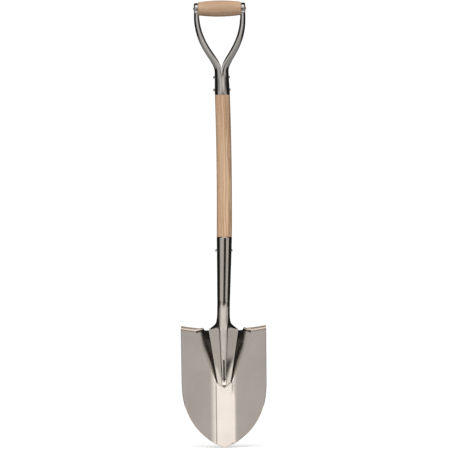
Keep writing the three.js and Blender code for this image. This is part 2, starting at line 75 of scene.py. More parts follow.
BLADE_THICKNESS = 1.8
BLADE_LIFT = math.radians(20)
BLADE_HALF_WIDTH = 94.2
BLADE_SIDE_LENGTH = 280
BLADE_SIDE_TAPER = 2.4
BLADE_TIP_HALF_WIDTH = 0.5
BLADE_TIP_Y = -63.5
BLADE_CURVE_LENGTH = 152.6
BLADE_POINT_POWER = 2.83
BLADE_ROUND_POWER = 0.775
BLADE_DISH = 25
TREAD_TOP = 269.5
TREAD_DEPTH = 14
TREAD_BEND = 3
TREAD_LEAST = 1.5
TREAD_END_X = 46
NOTCH_FLOOR_Z = 256
NOTCH_FLOOR_HALF_WIDTH = 42
NOTCH_MOUTH_Z = 262

SOCKET_THICKNESS = 1.8
STRAP_TILT = math.radians(6)
STRAP_TOP_Z = 258
STRAP_TOP_Y = -6.7
STRAP_TOP_HALF_WIDTH = 32
STRAP_SHOULDER_Z = 140
STRAP_SHOULDER_HALF_WIDTH = 13.3
STRAP_END_Z = 131
STRAP_POINT_POWER = 0.62
PANEL_HEIGHT = 1.6
PANEL_HALF_WIDTH = 17
PANEL_STEP = 1.7
PANEL_SOFT_SIDE = 5
ZONE_LIMITS = (0.5, 0.7, 0.8, 0.9)
BED_FILLET = 2
BED_WALL_TOP = 28
BED_WALL_END = 1.7
STRAP_TENT = 0.3
TENT_FROM_Z = 135
TENT_FULL_Z = 200
RIDGE_TILT = math.radians(3.3)
RIDGE_END_Z = 142
RIDGE_TOP_FLAT = 6.5
RIDGE_TOP_FOOT = 10
RIDGE_END_FLAT = 3
RIDGE_END_FOOT = 5
RIDGE_CROWN = 0.45
SLIT_WIDTH = 3.3
SLIT_BOTTOM_Z = 142
SLIT_TOP_Z = 191

TUBE_BOTTOM_Z = 300
OPENING_POWER = 2
NECK_RADIUS = 14
NECK_BEND_Z = 313
NECK_BEND_ROUND = 8
NECK_FLATNESS = 0.7
NECK_ROUND_Z = 328
NECK_TOP_Z = 316
SOCKET_TOP_Z = 462
SOCKET_TOP_RADIUS = 16.9
SEAM_GAP = 0.8

SHAFT_BOTTOM_Z = 322
SHAFT_TOP_Z = 823
SHAFT_RADIUS_LOW = 16.9
SHAFT_RADIUS_HIGH = 16.7
SHAFT_EDGE = 0.5

YOKE_THICKNESS = 1.6
YOKE_BOTTOM_Z = 776
YOKE_WAIST_Z = 825
YOKE_WAIST_RADIUS = 15.6
CROTCH_Z = 830
LEG_TOP_Z = 964
LEG_TOP_HALF_DEPTH = 10.5
LEG_WRAP = math.radians(148)
LEG_APART_Z = 850
LEG_CLOSED_Z = 872

GRIP_Z = 967
GRIP_HALF_LENGTH = 47.4
GRIP_MIDDLE_RADIUS = 18
GRIP_END_RADIUS = 14.5
GRIP_TENON_RADIUS = 10
GRIP_TENON_LENGTH = 4.5
CUP_INNER_X = 47.8
CUP_OUTER_X = 57
CUP_RADIUS = 12.7
CUP_CORNER = 4
ROD_RADIUS = 2
ROD_HEAD_RADIUS = 3
ROD_HEAD_HEIGHT = 1.5
RIVET_RADIUS = 2
RIVET_HEAD_RADIUS = 3.6
RIVET_HEAD_HEIGHT = 3.2
RIVET_TAIL_HEIGHT = 1.8
SOCKET_RIVET_Z = 432
YOKE_RIVET_LOW_Z = 787
YOKE_RIVET_HIGH_Z = 815


def node_middle(node):
    low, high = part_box(node)
    return (Vector(low) + Vector(high)) / 2


AXIS_Y = node_middle("shaft").y
BASE_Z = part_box("shaft")[0][2] - SHAFT_BOTTOM_Z * MM


def bow(z):
    """How far the shaft bows towards +X between the blade and the grip."""
    t = np.clip((np.asarray(z, float) - BOW_BOTTOM_Z) / (BOW_TOP_Z - BOW_BOTTOM_Z), 0, 1)
    return BOW * np.sin(math.pi * t) ** BOW_POWER


def placed(points):
    """Millimetres about the shaft's line to metres in the frame, with the bow put in."""
    points = np.array(points, float)
    points[..., 0] += bow(points[..., 2])
    return points * MM + np.array([0, AXIS_Y, BASE_Z])


# ---- Small helpers ------------------------------------------------------------------------------


def lerp(a, b, t):
    return a + (b - a) * t


def share(value, low, high):
    return (value - low) / (high - low)


def smooth(value, low, high):
    t = np.clip(share(value, low, high), 0, 1)
    return t * t * (3 - 2 * t)


def ramp(distance, reach):
    """0 below a corner and a straight rise above it, rounded over reach on each side."""
    distance = np.asarray(distance, float)
    rounded = (distance + reach) ** 2 / (4 * reach)
    return np.where(distance <= -reach, 0, np.where(distance >= reach, distance, rounded))


def evenly(points, count):
    """count points spaced evenly along a polyline."""
    points = np.asarray(points, float)
    along = np.concatenate([[0], np.cumsum(np.linalg.norm(np.diff(points, axis=0), axis=1))])
    wanted = np.linspace(0, along[-1], count)
    return np.stack([np.interp(wanted, along, points[:, k]) for k in range(2)], axis=1)


def patch(bottom, top, left, right):
    """A grid of 2-D points that fills four edges, each edge a list of points."""
    u = np.linspace(0, 1, len(bottom))[None, :, None]
    v = np.linspace(0, 1, len(left))[:, None, None]
    ruled = lerp(bottom[None], top[None], v) + lerp(left[:, None], right[:, None], u)
    corners = lerp(lerp(bottom[0], bottom[-1], u), lerp(top[0], top[-1], u), v)
    return ruled - corners


def grid_faces(rows, columns, start=0, closed=False):
    """Quads of a grid of points, joined up across its columns when closed."""
    faces = []
    for j in range(rows - 1):
        for i in range(columns if closed else columns - 1):
            a = start + j * columns + i
            b = start + j * columns + (i + 1) % columns
            faces.append((a, b, b + columns, a + columns))
    return faces


def make_object(name, points, faces):
    mesh = bpy.data.meshes.new(name)
    mesh.from_pydata([tuple(p) for p in placed(points)], [], faces)
    piece = bpy.data.objects.new(name, mesh)
    bpy.context.collection.objects.link(piece)
    return piece


def close_up(piece):
    """Welds points that meet and turns every face outwards."""
    edit = bmesh.new()
    edit.from_mesh(piece.data)
    bmesh.ops.remove_doubles(edit, verts=edit.verts, dist=1e-6)
    bmesh.ops.recalc_face_normals(edit, faces=edit.faces)
    edit.to_mesh(piece.data)
    edit.free()
    return piece


def join_grids(name, grids):
    """One mesh of several grids of 3-D points, welded where their edges meet."""
    points, faces = [], []
    for grid in grids:
        rows, columns = grid.shape[:2]
        faces += grid_faces(rows, columns, len(points))
        points += list(grid.reshape(-1, 3))
    return close_up(make_object(name, points, faces))


def turned(name, outline, axis, sides=96, middle=(0, 0, 0)):
    """A piece turned about an axis from a list of (place along it, radius)."""
    angles = np.linspace(0, 2 * np.pi, sides, endpoint=False)
    rings = []
    for along, radius in outline:
        radius = max(radius, 0.02)
        ring = [(along, radius * math.cos(a), radius * math.sin(a)) for a in angles]
        rings.append(ring if axis == "X" else [(y, z, x) for x, y, z in ring])
    points = np.array(rings).reshape(-1, 3) + np.array(middle)
    faces = grid_faces(len(rings), sides, closed=True)
    closed = outline[0] == outline[-1]
    if not closed:
        faces += [tuple(range(sides))[::-1], tuple(range(len(points) - sides, len(points)))]
    return close_up(make_object(name, points, faces))


def apply_modifiers(piece):
    evaluated = piece.evaluated_get(bpy.context.evaluated_depsgraph_get())
    mesh = bpy.data.meshes.new_from_object(evaluated)
    piece.modifiers.clear()
    piece.data = mesh


def thicken(piece, thickness, edge, even=True):
    """Gives a sheet its thickness, half to each side, and rounds its rims."""
    solid = piece.modifiers.new("thickness", "SOLIDIFY")
    solid.thickness = thickness * MM
    solid.offset = 0
    solid.use_even_offset = even
    rims = piece.modifiers.new("rims", "BEVEL")
    rims.width = edge * MM
    rims.segments = 3
    rims.limit_method = "ANGLE"
    rims.angle_limit = math.radians(50)
    apply_modifiers(piece)


def combine(piece, other, operation):
    """Cuts other from piece or joins it on, and removes it."""
    cut = piece.modifiers.new("combine", "BOOLEAN")
    cut.object = other
    cut.operation = operation
    cut.solver = "EXACT"
    apply_modifiers(piece)
    bpy.data.objects.remove(other)


def soften(piece, angle=35):
    """Smooth shading with sharp edges kept."""
    for face in piece.data.polygons:
        face.use_smooth = True
    piece.data.set_sharp_from_angle(angle=math.radians(angle))


def finish_piece(piece, node, material):
    soften(piece)
    piece.data.materials.clear()
    piece.data.materials.append(material)
    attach(piece, "root")
    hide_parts(node)


# ---- Blade --------------------------------------------------------------------------------------


def on_blade(x, along, out):
    """The blade's own measures (across, along from its tip, out of its face) to X, Y and Z."""
    y = BLADE_TIP_Y + along * math.sin(BLADE_LIFT) - out * math.cos(BLADE_LIFT)
    z = along * math.cos(BLADE_LIFT) + out * math.sin(BLADE_LIFT)
    return np.stack(np.broadcast_arrays(x, y, z), axis=-1)


def blade_half_width(along):
    from_shoulder = np.clip(1 - along / BLADE_CURVE_LENGTH, 0, 1)
    fullness = (1 - from_shoulder**BLADE_POINT_POWER) ** BLADE_ROUND_POWER
    side = BLADE_HALF_WIDTH - BLADE_SIDE_TAPER * np.clip(1 - along / BLADE_SIDE_LENGTH, 0, 1)
    return lerp(BLADE_TIP_HALF_WIDTH, side, fullness)


def strap_y(z):
    return STRAP_TOP_Y + (z - STRAP_TOP_Z) * math.tan(STRAP_TILT)


def strap_half_width(z):
    side = lerp(
        STRAP_SHOULDER_HALF_WIDTH,
        STRAP_TOP_HALF_WIDTH,
        np.minimum(share(z, STRAP_SHOULDER_Z, STRAP_TOP_Z), 1),
    )
    up = np.clip(share(z, STRAP_END_Z, STRAP_SHOULDER_Z), 0, 1)
    return np.where(z >= STRAP_SHOULDER_Z, side, STRAP_SHOULDER_HALF_WIDTH * up**STRAP_POINT_POWER)


def bed_line():
    """Where along the blade the bed starts to rise for the strap, and how steeply."""
    behind = (BLADE_THICKNESS + SOCKET_THICKNESS) / 2 + FIT_GAP
    bed_y = STRAP_TOP_Y + behind / math.cos(STRAP_TILT) - BLADE_TIP_Y
    along_at_top = bed_y * math.sin(BLADE_LIFT) + STRAP_TOP_Z * math.cos(BLADE_LIFT)
    height_at_top = STRAP_TOP_Z * math.sin(BLADE_LIFT) - bed_y * math.cos(BLADE_LIFT)
    slope = math.tan(BLADE_LIFT - STRAP_TILT)
    return along_at_top - (height_at_top - PANEL_HEIGHT) / slope, slope


BED_FOOT, BED_SLOPE = bed_line()


def bed_height(along):
    return PANEL_HEIGHT + BED_SLOPE * ramp(along - BED_FOOT, BED_FILLET)


def blade_zones(along, side):
    """Half-widths of the bed's top, its wall's foot, the panel, its step's foot and the blade."""
    half = blade_half_width(along)
    z = along * math.cos(BLADE_LIFT) + bed_height(along) * math.sin(BLADE_LIFT)
    up = np.clip(share(z, STRAP_SHOULDER_Z, STRAP_TOP_Z), 0, None)
    bed = strap_half_width(np.maximum(z, STRAP_END_Z)) + 0.5
    wall = bed + lerp(BED_WALL_END, BED_WALL_TOP, up)
    soft = PANEL_SOFT_SIDE * (1 - smooth(z, STRAP_END_Z - 30, STRAP_END_Z)) if side > 0 else 0
    panel = np.maximum(PANEL_HALF_WIDTH - soft / 2, wall + 0.5)
    step = panel + PANEL_STEP + soft * 1.5
    limits = zip((bed, wall, panel, step), ZONE_LIMITS)
    return [np.minimum(zone, half * most) for zone, most in limits] + [half]


def dish_height(x):
    return BLADE_DISH * (x / BLADE_HALF_WIDTH) ** 2


def blade_height(x, along, side):
    bed, wall, panel, step, _ = blade_zones(along, side)
    size = np.abs(x)
    z = along * math.cos(BLADE_LIFT)
    stepped = (1 - np.clip(share(size, panel, step), 0, 1)) * (1 - smooth(z, STRAP_END_Z, STRAP_END_Z + 25))
    base = lerp(dish_height(x), PANEL_HEIGHT, stepped)
    return lerp(bed_height(along), base, np.clip(share(size, bed, wall), 0, 1))


def blade_columns(along, side):
    """Places across one side of the blade that keep to the edges of its zones."""
    bed, wall, panel, step, half = blade_zones(along, side)
    parts = [(0 * bed, bed, 12), (bed, wall, 22), (wall, panel, 8), (panel, step, 8), (step, half, 54)]
    across = [lerp(a, b, t) for a, b, n in parts for t in np.arange(n) / n]
    return side * np.stack([*across, half], axis=1)


def blade_side(side):
    """One half of the blade's sheet, with its tread, from the middle outwards."""
    bend_from = TREAD_TOP - BLADE_THICKNESS / 2 - TREAD_BEND
    along = np.concatenate(
        [
            BED_FOOT * np.linspace(0, 1, 90) ** 1.5,
            np.linspace(BED_FOOT, BED_FOOT + 20, 30)[1:],
            np.linspace(BED_FOOT + 20, bend_from, 70)[1:],
        ]
    )
    x = blade_columns(along, side)
    face = on_blade(x, along[:, None], blade_height(x, along[:, None], side))
    x = x[-1]
    base = blade_height(x, bend_from, side)
    flange = dish_height(x) + TREAD_DEPTH - TREAD_BEND
    reach = np.maximum(flange - base, TREAD_LEAST)
    bend = [
        (TREAD_BEND * math.sin(a), TREAD_BEND * (1 - math.cos(a)))
        for a in np.linspace(0, math.pi / 2, 7)[1:]
    ]
    flat = [(TREAD_BEND, TREAD_BEND + reach * part) for part in np.linspace(0, 1, 8)[1:]]
    tread = np.array([on_blade(x, bend_from + up, base + out) for up, out in bend + flat])
    return np.concatenate([face, tread])


def cut_notch(piece):
    """Cuts the notch's outline into the open sheet and takes out what lies above it."""
    floor, mouth = NOTCH_FLOOR_HALF_WIDTH, TREAD_END_X
    rise = NOTCH_MOUTH_Z - NOTCH_FLOOR_Z
    lines = [((0, NOTCH_FLOOR_Z), (0, 1))]
    for side in (-1, 1):
        lines.append(((side * mouth, NOTCH_FLOOR_Z), (1, 0)))
        lines.append(((side * floor, NOTCH_FLOOR_Z), (-side * rise, mouth - floor)))
    edit = bmesh.new()
    edit.from_mesh(piece.data)
    for (x, z), (normal_x, normal_z) in lines:
        near = [f for f in edit.faces if f.calc_center_median().z > placed((0, 0, NOTCH_FLOOR_Z - 15))[2]]
        geometry = near + list({e for f in near for e in f.edges} | {v for f in near for v in f.verts})
        point = placed((x, 0, z))
        normal = (normal_x, 0, normal_z)
        bmesh.ops.bisect_plane(edit, geom=geometry, dist=1e-7, plane_co=point, plane_no=normal)
    gone = []
    for face in edit.faces:
        x, _, z = (np.array(face.calc_center_median()) - placed((0, 0, 0))) / MM
        above = NOTCH_FLOOR_Z + max(abs(x) - floor, 0) / (mouth - floor) * rise
        if abs(x) < mouth and z > above:
            gone.append(face)
    bmesh.ops.delete(edit, geom=gone, context="FACES")
    edit.to_mesh(piece.data)
    edit.free()


def blade_piece():
    piece = join_grids("blade_sheet", [blade_side(-1)[:, ::-1], blade_side(1)])
    cut_notch(piece)
    thicken(piece, BLADE_THICKNESS, 0.5, even=False)
    return piece


# ---- Socket -------------------------------------------------------------------------------------


def socket_radius(z):
    return lerp(
        NECK_RADIUS, SOCKET_TOP_RADIUS, np.maximum(share(z, NECK_TOP_Z, SOCKET_TOP_Z), 0)
    )


def ridge_crest_y(z):
    top_y = SOCKET_THICKNESS / 2 - NECK_RADIUS
    return top_y - ramp(NECK_BEND_Z - z, NECK_BEND_ROUND) * math.tan(RIDGE_TILT)


def neck_round(angle, z):
    """Sine and cosine of the tube's section, whose front is pressed flatter at the neck."""
    power = lerp(NECK_FLATNESS, 1, smooth(z, NECK_BEND_Z - NECK_BEND_ROUND, NECK_ROUND_Z))
    power = np.where(np.cos(angle) > 0, power, 1)
    across = np.sign(np.sin(angle)) * np.abs(np.sin(angle)) ** power
    return across, np.sign(np.cos(angle)) * np.abs(np.cos(angle)) ** power


def socket_surface(x, z):
    """The socket's middle surface. x runs across the strap and unrolls into the tube above it."""
    half = np.maximum(strap_half_width(z), 1e-3)
    radius = socket_radius(z) - SOCKET_THICKNESS / 2
    angle = x / half * (math.pi - SEAM_GAP / 2 / radius)
    leaned = ridge_crest_y(z) - SOCKET_THICKNESS / 2 + NECK_RADIUS
    up = share(z, RIDGE_END_Z, STRAP_TOP_Z)
    flat = np.maximum(lerp(RIDGE_END_FLAT, RIDGE_TOP_FLAT, up), 1)
    foot = np.maximum(lerp(RIDGE_END_FOOT, RIDGE_TOP_FOOT, up), 3)
    size = np.abs(x)
    slope = STRAP_TENT * np.clip(share(z, TENT_FROM_Z, TENT_FULL_Z), 0, 1)
    tent_top = slope * np.maximum(half - foot, 0)
    tent = np.minimum(slope * (half - size), tent_top)
    fade = smooth(z, STRAP_END_Z + 2, RIDGE_END_Z + 6)
    height = (strap_y(z) - tent_top - ridge_crest_y(z)) * fade
    crown = RIDGE_CROWN * np.minimum(size / flat, 1) ** 2 * fade
    rise = (height - crown) * (1 - smooth(size, flat, foot))
    opened = np.clip(1 - share(z, STRAP_TOP_Z, TUBE_BOTTOM_Z), 0, 1) ** OPENING_POWER
    sideways, forward = neck_round(angle, z)
    across = lerp(radius * sideways, x, opened)
    y = lerp(leaned - radius * forward, strap_y(z) - tent - rise, opened)
    return np.stack(np.broadcast_arrays(across, y, z), axis=-1)


def socket_piece():
    columns = 97
    corner_z = STRAP_SHOULDER_Z + 1
    point_z = STRAP_END_Z + (corner_z - STRAP_END_Z) * np.linspace(0, 1, 80) ** 2
    point = np.stack([strap_half_width(point_z), point_z], axis=1)
    bottom = evenly(np.concatenate([(point * [-1, 1])[:0:-1], point]), columns)
    sides_z = np.concatenate(
        [
            np.linspace(corner_z, STRAP_TOP_Z, 70),
            np.linspace(STRAP_TOP_Z, TUBE_BOTTOM_Z, 32)[1:],
            np.linspace(TUBE_BOTTOM_Z, SOCKET_TOP_Z, 50)[1:],
        ]
    )
    right = np.stack([strap_half_width(sides_z), sides_z], axis=1)
    top_x = np.linspace(-right[-1, 0], right[-1, 0], columns)
    top = np.stack([top_x, np.full(columns, SOCKET_TOP_Z)], axis=1)
    plan = patch(bottom, top, right * [-1, 1], right)
    piece = join_grids("socket_sheet", [socket_surface(plan[..., 0], plan[..., 1])])
    thicken(piece, SOCKET_THICKNESS, 0.8)
    middle_z = (SLIT_BOTTOM_Z + SLIT_TOP_Z) / 2
    slit = block("slit", (SLIT_WIDTH, 60, SLIT_TOP_Z - SLIT_BOTTOM_Z), (0, 0, middle_z))
    combine(piece, slit, "DIFFERENCE")
    return piece


def block(name, size, middle):
    half = np.array(size) / 2
    points = [np.array(middle) + half * (x, y, z) for x in (-1, 1) for y in (-1, 1) for z in (-1, 1)]
    faces = [(0, 1, 3, 2), (4, 6, 7, 5), (0, 4, 5, 1), (2, 3, 7, 6), (0, 2, 6, 4), (1, 5, 7, 3)]
    return make_object(name, points, faces)


# ---- Shaft --------------------------------------------------------------------------------------


def yoke_radius(z):
    return lerp(SHAFT_RADIUS_HIGH, YOKE_WAIST_RADIUS, smooth(z, YOKE_BOTTOM_Z, YOKE_WAIST_Z))


def shaft_piece():
    low = SOCKET_TOP_Z + FIT_GAP
    high = YOKE_BOTTOM_Z - FIT_GAP

    def in_socket(z):
        return float(socket_radius(z)) - SOCKET_THICKNESS - FIT_GAP

    def in_yoke(z):
        return float(yoke_radius(z)) - YOKE_THICKNESS - FIT_GAP

    exposed = [
        (z, lerp(SHAFT_RADIUS_LOW, SHAFT_RADIUS_HIGH, share(z, low, high)))
        for z in np.linspace(low + SHAFT_EDGE, high - SHAFT_EDGE, 60)
    ]
    outline = [
        (SHAFT_BOTTOM_Z, 0),
        (SHAFT_BOTTOM_Z, in_socket(SHAFT_BOTTOM_Z) - 1.5),
        (SHAFT_BOTTOM_Z + 3, in_socket(SHAFT_BOTTOM_Z)),
        (low, in_socket(SOCKET_TOP_Z)),
        (low, SHAFT_RADIUS_LOW - SHAFT_EDGE),
        *exposed,
        (high, SHAFT_RADIUS_HIGH - SHAFT_EDGE),
        (high, in_yoke(YOKE_BOTTOM_Z)),
        ((YOKE_BOTTOM_Z + SHAFT_TOP_Z) / 2, in_yoke((YOKE_BOTTOM_Z + SHAFT_TOP_Z) / 2)),
        (SHAFT_TOP_Z - 1.5, in_yoke(SHAFT_TOP_Z)),
        (SHAFT_TOP_Z, in_yoke(SHAFT_TOP_Z) - 1.5),
        (SHAFT_TOP_Z, 0),
    ]
    return turned("shaft_ash", outline, "Z")


# ---- Yoke ---------------------------------------------------------------------------------------


def bezier(p0, p1, p2, p3, count=200):
    t = np.linspace(0, 1, count)[:, None]
    p0, p1, p2, p3 = map(np.array, (p0, p1, p2, p3))
    return (1 - t) ** 3 * p0 + 3 * (1 - t) ** 2 * t * p1 + 3 * (1 - t) * t**2 * p2 + t**3 * p3


LEG_OUTER_EDGE = bezier(
    (YOKE_WAIST_RADIUS, YOKE_WAIST_Z), (13, 855), (63.2, 879), (CUP_OUTER_X - 0.6, LEG_TOP_Z)
)
LEG_INNER_EDGE = bezier(
    (SEAM_GAP / 2, CROTCH_Z), (-2.5, 860), (46.9, 882), (CUP_INNER_X - 2.5, LEG_TOP_Z)
)


def edge_x(edge, z):
    return np.interp(z, edge[:, 1], edge[:, 0])


def leg_surface(u, z):
    """The right leg's middle surface: a half-ring at the shaft, a channel above it."""
    wall = YOKE_THICKNESS / 2
    outer = np.where(z < YOKE_WAIST_Z, yoke_radius(z), edge_x(LEG_OUTER_EDGE, z)) - wall
    inner = np.where(z < CROTCH_Z, SEAM_GAP / 2, np.maximum(edge_x(LEG_INNER_EDGE, z), SEAM_GAP / 2))
    inner = inner + wall * smooth(z, CROTCH_Z, LEG_APART_Z)
    depth = lerp(yoke_radius(z), LEG_TOP_HALF_DEPTH, smooth(z, CROTCH_Z, LEG_TOP_Z)) - wall
    wrap = lerp(math.pi / 2, LEG_WRAP, smooth(z, YOKE_RIVET_HIGH_Z, LEG_CLOSED_Z))
    angle = -u * wrap
    across = share(np.cos(angle), np.cos(wrap), 1)
    return np.stack(np.broadcast_arrays(lerp(inner, outer, across), depth * np.sin(angle), z), axis=-1)


def arc(x, radius, size, steps):
    """A quarter round from the top of a corner to its outer side."""
    return [
        (x + size * math.sin(a), radius + size * math.cos(a))
        for a in np.linspace(0, math.pi / 2, steps)
    ]


def cup_outline():
    corner = (CUP_OUTER_X - CUP_CORNER, CUP_RADIUS - CUP_CORNER)
    outside = arc(*corner, CUP_CORNER, 9)
    inside = arc(*corner, CUP_CORNER - YOKE_THICKNESS, 9)
    hole = ROD_RADIUS + FIT_GAP
    lip = 0.5
    return [
        (CUP_INNER_X, CUP_RADIUS - lip),
        (CUP_INNER_X + lip, CUP_RADIUS),
        *outside,
        (CUP_OUTER_X, hole),
        (CUP_OUTER_X - YOKE_THICKNESS, hole),
        *inside[::-1],
        (CUP_INNER_X, CUP_RADIUS - YOKE_THICKNESS),
        (CUP_INNER_X, CUP_RADIUS - lip),
    ]


def grip_room(side):
    """What the leg's own sheet leaves free for the cup's inside and the grip's end."""
    beside = GRIP_END_RADIUS + 2 * FIT_GAP
    in_cup = CUP_RADIUS - YOKE_THICKNESS / 2
    mouth = CUP_INNER_X + FIT_GAP
    reach = CUP_OUTER_X - YOKE_THICKNESS / 2
    outline = [(0, 0), (0, beside), (mouth, beside), (mouth, in_cup), (reach, in_cup), (reach, 0)]
    return turned("room", [(side * x, r) for x, r in outline], "X", middle=(0, 0, GRIP_Z))


def leg_piece(name, side):
    u = np.linspace(-1, 1, 57)[None]
    z = np.concatenate(
        [np.linspace(YOKE_BOTTOM_Z, CROTCH_Z, 30), np.linspace(CROTCH_Z, LEG_TOP_Z, 90)[1:]]
    )[:, None]
    grid = leg_surface(*np.broadcast_arrays(u, z)) * np.array([side, 1, 1])
    piece = join_grids(name, [grid])
    thicken(piece, YOKE_THICKNESS, 0.45)
    combine(piece, grip_room(side), "DIFFERENCE")
    cup = turned("cup", [(side * x, r) for x, r in cup_outline()], "X", middle=(0, 0, GRIP_Z))
    combine(piece, cup, "UNION")
    return piece


# ---- Grip, rod and rivets -----------------------------------------------------------------------


def grip_piece():
    end = GRIP_HALF_LENGTH
    edge = 0.8
    bore = ROD_RADIUS + FIT_GAP
    barrel = [
        (x, lerp(GRIP_MIDDLE_RADIUS, GRIP_END_RADIUS, (x / end) ** 2))
        for x in np.linspace(edge - end, end - edge, 61)
    ]
    tenon = end + GRIP_TENON_LENGTH
    outline = [
        (-tenon, bore),
        (-tenon, GRIP_TENON_RADIUS),
        (-end, GRIP_TENON_RADIUS),
        (-end, GRIP_END_RADIUS - edge),
        *barrel,
        (end, GRIP_END_RADIUS - edge),
        (end, GRIP_TENON_RADIUS),
        (tenon, GRIP_TENON_RADIUS),
        (tenon, bore),
        (-tenon, bore),
    ]
    return turned("grip_ash", outline, "X", middle=(0, 0, GRIP_Z))


def dome(x, radius, height):
    return [
        (x + height * math.sin(a), radius * math.cos(a)) for a in np.linspace(0, math.pi / 2, 13)
    ]


def headed_pin(name, half_span, radius, head_radius, left_height, right_height, z):
    left = [(-x, r) for x, r in reversed(dome(half_span, head_radius, left_height))]
    right = dome(half_span, head_radius, right_height)
    outline = [*left, (-half_span, radius), (half_span, radius), *right]
    return turned(name, outline, "X", sides=48, middle=(0, 0, z))


def rivet_piece(name, tube_radius, z):
    span = float(tube_radius) + FIT_GAP
    return headed_pin(
        name, span, RIVET_RADIUS, RIVET_HEAD_RADIUS, RIVET_HEAD_HEIGHT, RIVET_TAIL_HEIGHT, z
    )


def rod_piece():
    span = CUP_OUTER_X + FIT_GAP
    return headed_pin(
        "grip_rod_pin", span, ROD_RADIUS, ROD_HEAD_RADIUS, ROD_HEAD_HEIGHT, ROD_HEAD_HEIGHT, GRIP_Z
    )


# ---- Materials ----------------------------------------------------------------------------------


class Graph:
    """A material's or the world's node tree, with short calls to add nodes to it."""

    def __init__(self, owner):
        owner.use_nodes = True
        self.tree = owner.node_tree
        self.tree.nodes.clear()

    def add(self, kind, inputs=None, **settings):
        node = self.tree.nodes.new("ShaderNode" + kind)
        for key, value in settings.items():
            setattr(node, key, value)
        for key, value in (inputs or {}).items():
            if isinstance(value, bpy.types.NodeSocket):
                self.tree.links.new(value, node.inputs[key])
            else:
                node.inputs[key].default_value = value
        return node

    def math(self, operation, *values):
        return self.add("Math", dict(enumerate(values)), operation=operation).outputs[0]

    def spread(self, value, low, high, to_low=0.0, to_high=1.0, kind="SMOOTHSTEP"):
        inputs = {"Value": value, "From Min": low, "From Max": high, "To Min": to_low, "To Max": to_high}
        return self.add("MapRange", inputs, interpolation_type=kind).outputs[0]

    def noise(self, vector, scale, detail=2.0, rough=0.5):
        inputs = {"Vector": vector, "Scale": scale, "Detail": detail, "Roughness": rough}
        return self.add("TexNoise", inputs).outputs["Fac"]

    def mix(self, factor, a, b, kind="MIX"):
        node = self.add("Mix", data_type="RGBA", blend_type=kind)
        for key, value in ((0, factor), (6, a), (7, b)):
            if isinstance(value, bpy.types.NodeSocket):
                self.tree.links.new(value, node.inputs[key])
            else:
                node.inputs[key].default_value = value
        return node.outputs[2]

    def stretched(self, scale, turn=(0, 0, 0)):
        place = self.add("TexCoord").outputs["Object"]
        return self.add("Mapping", {"Vector": place, "Rotation": turn, "Scale": scale}).outputs[0]


def steel(name, colour, roughness, line_scale, waves, painted_shade_zone=None):
    """Polished steel: faint wavy reflections, fine polishing lines and a few scratches, with painted shade
    where a zone is given.
    """
    material = bpy.data.materials.new(name)
    graph = Graph(material)
    lines = graph.noise(graph.stretched(line_scale), 1.0, 3.0)
    cloud = graph.noise(graph.stretched((14, 14, 14)), 1.0, 3.0, 0.6)
    scratch_field = graph.noise(graph.stretched((900, 900, 25), (0.2, 0.5, 0)), 1.0, 1.0)
    scratches = graph.spread(scratch_field, 0.70, 0.76)
    rough = graph.spread(cloud, 0.3, 0.7, roughness * 0.7, roughness * 1.3, "LINEAR")
    rough = graph.math("ADD", rough, graph.math("MULTIPLY", lines, 0.05))
    rough = graph.math("ADD", rough, graph.math("MULTIPLY", scratches, 0.08))
    tint = graph.mix(graph.spread(cloud, 0.35, 0.65), colour, tuple(c * 0.93 for c in colour[:3]) + (1,))
    tint = graph.mix(graph.math("MULTIPLY", scratches, 0.15), tint, (0.5, 0.48, 0.46, 1))
    swell = graph.noise(graph.stretched((9, 9, 6)), 1.0, 1.0)
    height = graph.math("ADD", graph.math("MULTIPLY", swell, waves), graph.math("MULTIPLY", lines, 0.0008))
    height = graph.math("SUBTRACT", height, graph.math("MULTIPLY", scratches, 0.004))
    bump = graph.add("Bump", {"Strength": 0.35, "Distance": 0.001, "Height": height}).outputs[0]
    metal = 1.0
    if painted_shade_zone:
        # Painted shade: under the strap the blade is made black, matte and not metal, for the dark hollow
        # behind the slit.
        scale = painted_shade_under_strap(graph, painted_shade_zone)
        tint = graph.mix(scale, tint, (0.012, 0.011, 0.010, 1))
        rough = graph.math("MAXIMUM", rough, graph.math("MULTIPLY", scale, 0.7))
        metal = graph.math("SUBTRACT", 1.0, scale)
    shader = graph.add(
        "BsdfPrincipled", {"Base Color": tint, "Metallic": metal, "Roughness": rough, "Normal": bump}
    )
    graph.add("OutputMaterial", {"Surface": shader.outputs[0]})
    return material


def painted_shade_under_strap(graph, zone):
    """1 on the blade's front where the strap hides it: painted black shade for the hollow seen through the
    slit.
    """
    half, low, high = (value * MM for value in zone)
    coordinates = graph.add("TexCoord")
    x, _, z = graph.add("SeparateXYZ", {0: coordinates.outputs["Object"]}).outputs
    front = graph.add("SeparateXYZ", {0: coordinates.outputs["Normal"]}).outputs[1]
    inside = graph.math("LESS_THAN", graph.math("ABSOLUTE", x), half)
    inside = graph.math("MULTIPLY", inside, graph.math("GREATER_THAN", z, BASE_Z + low))
    inside = graph.math("MULTIPLY", inside, graph.math("LESS_THAN", z, BASE_Z + high))
    return graph.math("MULTIPLY", inside, graph.math("LESS_THAN", front, 0.0))


